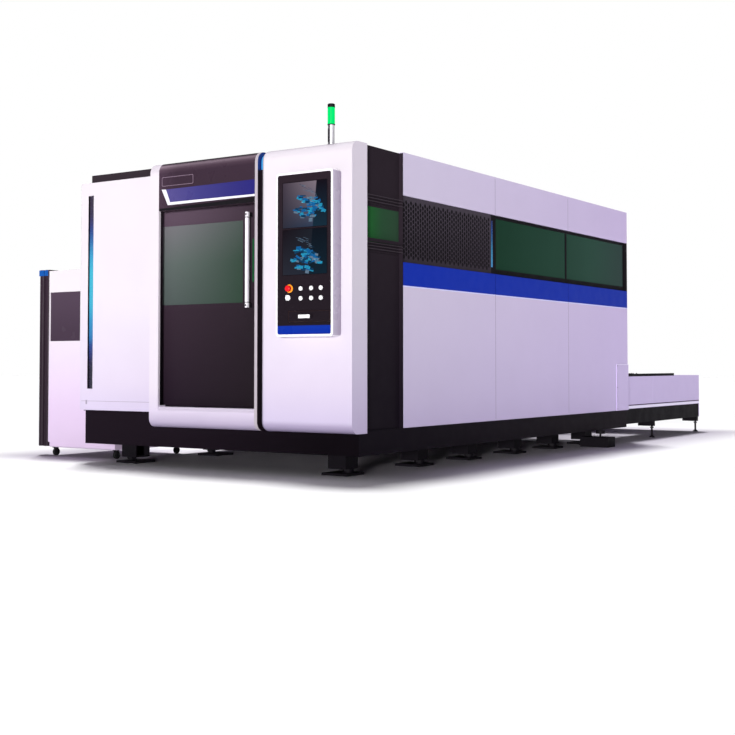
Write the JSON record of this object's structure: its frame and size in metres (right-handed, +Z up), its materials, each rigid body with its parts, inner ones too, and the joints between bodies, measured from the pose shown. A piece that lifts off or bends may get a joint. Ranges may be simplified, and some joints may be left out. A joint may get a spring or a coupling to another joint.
{
  "type": "fiber laser cutting machine",
  "caption": "Enclosed fiber laser cutting machine with sliding front door, operator console, gantry with cutting head, exchange table with two pallets and a source cabinet.",
  "frame": {"origin": "centre of the bounding box on the floor", "axes": "+Z up, -Y towards the operator front, +X to the right seen from the front, long axis along Y"},
  "size_m": [3.651, 7.253, 2.535],
  "materials": {
    "white_panel": "satin powder coat",
    "black_panel": "satin powder coat",
    "black_gloss": "gloss",
    "frame_paint": "matt powder coat",
    "safety_glass": "tinted laser safety pane",
    "console_face": "black glass",
    "console_white": "gloss",
    "led_light": "diffuser",
    "button_white": "gloss",
    "estop_red": "gloss",
    "estop_yellow": "satin",
    "lens_green": "translucent lens",
    "tower_metal": "satin",
    "black_plastic": "satin",
    "beam_aluminium": "anodised",
    "dark_steel": "oxidised",
    "nozzle_brass": "turned",
    "handle_white": "satin",
    "wheel_rubber": "matt",
    "source_grey": "satin",
    "rail_steel": "ground"
  },
  "bodies": {
    "root": {"bed_frame": "frame_paint", "levelling_feet": "dark_steel", "plinth_skirt": "black_panel", "cabin_frame": "frame_paint", "right_upper_panels": "white_panel", "right_lower_panels": "white_panel", "left_side_panels": "white_panel", "roof_panels": "white_panel", "rear_wall": "white_panel", "grille_panel": "black_panel", "band_frame": "black_gloss", "side_windows": "safety_glass", "transition_cover": "black_panel", "front_wall": "black_panel", "front_right_cover": "white_panel", "door_header": "black_gloss", "door_surround": "white_panel", "front_left_cover": "white_panel", "led_strips": "led_light", "console_housing": "console_white", "console_glass": "console_face", "estop_collar": "estop_yellow", "tower_light_post": "tower_metal", "tower_light_lens": "lens_green", "tower_light_cap": "black_plastic", "gantry_rails": "rail_steel", "table_frame": "frame_paint", "table_covers": "white_panel", "cabinet_body": "white_panel", "cabinet_post": "black_gloss", "laser_source": "source_grey", "floor_box": "dark_steel"},
    "door": {"door_leaf": "black_panel", "door_window": "safety_glass", "door_handle": "handle_white"},
    "gantry": {"gantry_beam": "beam_aluminium"},
    "carriage": {"carriage": "beam_aluminium"},
    "head": {"cutting_head": "black_plastic", "cutting_nozzle": "nozzle_brass"},
    "pallet_upper": {"upper_pallet": "dark_steel"},
    "pallet_lower": {"lower_pallet": "dark_steel"},
    "estop": {"estop_button": "estop_red"},
    "knob": {"selector_knob": "button_white"},
    "drawer": {"keyboard_drawer": "black_plastic"},
    "hatch": {"rear_hatch": "white_panel"},
    "cabinet_leaf": {"cabinet_door": "white_panel"},
    "button_1": {"console_button_1": "button_white"},
    "button_2": {"console_button_2": "button_white"},
    "button_3": {"console_button_3": "button_white"},
    "button_4": {"console_button_4": "button_white"},
    "button_5": {"console_button_5": "button_white"},
    "button_6": {"console_button_6": "button_white"},
    "caster_1": {"caster_fork_1": "black_plastic"},
    "wheel_1": {"caster_wheel_1": "wheel_rubber"},
    "caster_2": {"caster_fork_2": "black_plastic"},
    "wheel_2": {"caster_wheel_2": "wheel_rubber"},
    "caster_3": {"caster_fork_3": "black_plastic"},
    "wheel_3": {"caster_wheel_3": "wheel_rubber"},
    "caster_4": {"caster_fork_4": "black_plastic"},
    "wheel_4": {"caster_wheel_4": "wheel_rubber"}
  },
  "joints": [
    {"name": "door_slide", "type": "slide", "parent": "root", "child": "door", "axis": [-1, 0, 0], "range_m": [0, 0.785]},
    {"name": "gantry_travel", "type": "slide", "parent": "root", "child": "gantry", "axis": [0, -1, 0], "range_m": [0, 2.85]},
    {"name": "carriage_travel", "type": "slide", "parent": "gantry", "child": "carriage", "axis": [1, 0, 0], "range_m": [-0.85, 0.85]},
    {"name": "head_lift", "type": "slide", "parent": "carriage", "child": "head", "axis": [0, 0, -1], "range_m": [0, 0.21]},
    {"name": "upper_pallet_travel", "type": "slide", "parent": "root", "child": "pallet_upper", "axis": [0, -1, 0], "range_m": [0, 3.03]},
    {"name": "lower_pallet_travel", "type": "slide", "parent": "root", "child": "pallet_lower", "axis": [0, 1, 0], "range_m": [0, 3.03]},
    {"name": "estop_press", "type": "slide", "parent": "root", "child": "estop", "axis": [0, 1, 0], "range_m": [0, 0.004]},
    {"name": "selector_turn", "type": "hinge", "parent": "root", "child": "knob", "pos_m": [1.2305, -3.5965, 1.209], "axis": [0, -1, 0], "range_deg": [-45, 45]},
    {"name": "drawer_slide", "type": "slide", "parent": "root", "child": "drawer", "axis": [0, -1, 0], "range_m": [0, 0.15]},
    {"name": "hatch_hinge", "type": "hinge", "parent": "root", "child": "hatch", "pos_m": [1.6898, 1.2785, 0.318], "axis": [0, 0, 1], "range_deg": [0, 100]},
    {"name": "cabinet_hinge", "type": "hinge", "parent": "root", "child": "cabinet_leaf", "pos_m": [-1.6922, -3.0615, 0.115], "axis": [0, 0, -1], "range_deg": [0, 105]},
    {"name": "button_1_press", "type": "slide", "parent": "root", "child": "button_1", "axis": [0, 1, 0], "range_m": [0, 0.004], "stiffness_N_per_m": 300},
    {"name": "button_2_press", "type": "slide", "parent": "root", "child": "button_2", "axis": [0, 1, 0], "range_m": [0, 0.004], "stiffness_N_per_m": 300},
    {"name": "button_3_press", "type": "slide", "parent": "root", "child": "button_3", "axis": [0, 1, 0], "range_m": [0, 0.004], "stiffness_N_per_m": 300},
    {"name": "button_4_press", "type": "slide", "parent": "root", "child": "button_4", "axis": [0, 1, 0], "range_m": [0, 0.004], "stiffness_N_per_m": 300},
    {"name": "button_5_press", "type": "slide", "parent": "root", "child": "button_5", "axis": [0, 1, 0], "range_m": [0, 0.004], "stiffness_N_per_m": 300},
    {"name": "button_6_press", "type": "slide", "parent": "root", "child": "button_6", "axis": [0, 1, 0], "range_m": [0, 0.004], "stiffness_N_per_m": 300},
    {"name": "caster_1_swivel", "type": "hinge", "parent": "root", "child": "caster_1", "pos_m": [-1.6605, -3.0255, 0.072], "axis": [0, 0, 1], "continuous": true},
    {"name": "caster_1_roll", "type": "hinge", "parent": "caster_1", "child": "wheel_1", "pos_m": [-1.6605, -3.0115, 0.031], "axis": [1, 0, 0], "continuous": true},
    {"name": "caster_2_swivel", "type": "hinge", "parent": "root", "child": "caster_2", "pos_m": [-0.9565, -3.0255, 0.072], "axis": [0, 0, 1], "continuous": true},
    {"name": "caster_2_roll", "type": "hinge", "parent": "caster_2", "child": "wheel_2", "pos_m": [-0.9565, -3.0115, 0.031], "axis": [1, 0, 0], "continuous": true},
    {"name": "caster_3_swivel", "type": "hinge", "parent": "root", "child": "caster_3", "pos_m": [-1.6605, -2.3175, 0.072], "axis": [0, 0, 1], "continuous": true},
    {"name": "caster_3_roll", "type": "hinge", "parent": "caster_3", "child": "wheel_3", "pos_m": [-1.6605, -2.3035, 0.031], "axis": [1, 0, 0], "continuous": true},
    {"name": "caster_4_swivel", "type": "hinge", "parent": "root", "child": "caster_4", "pos_m": [-0.9565, -2.3175, 0.072], "axis": [0, 0, 1], "continuous": true},
    {"name": "caster_4_roll", "type": "hinge", "parent": "caster_4", "child": "wheel_4", "pos_m": [-0.9565, -2.3035, 0.031], "axis": [1, 0, 0], "continuous": true}
  ],
  "couplings": [
    {"joint": "lower_pallet_travel", "follows": "upper_pallet_travel", "ratio": 1}
  ]
}
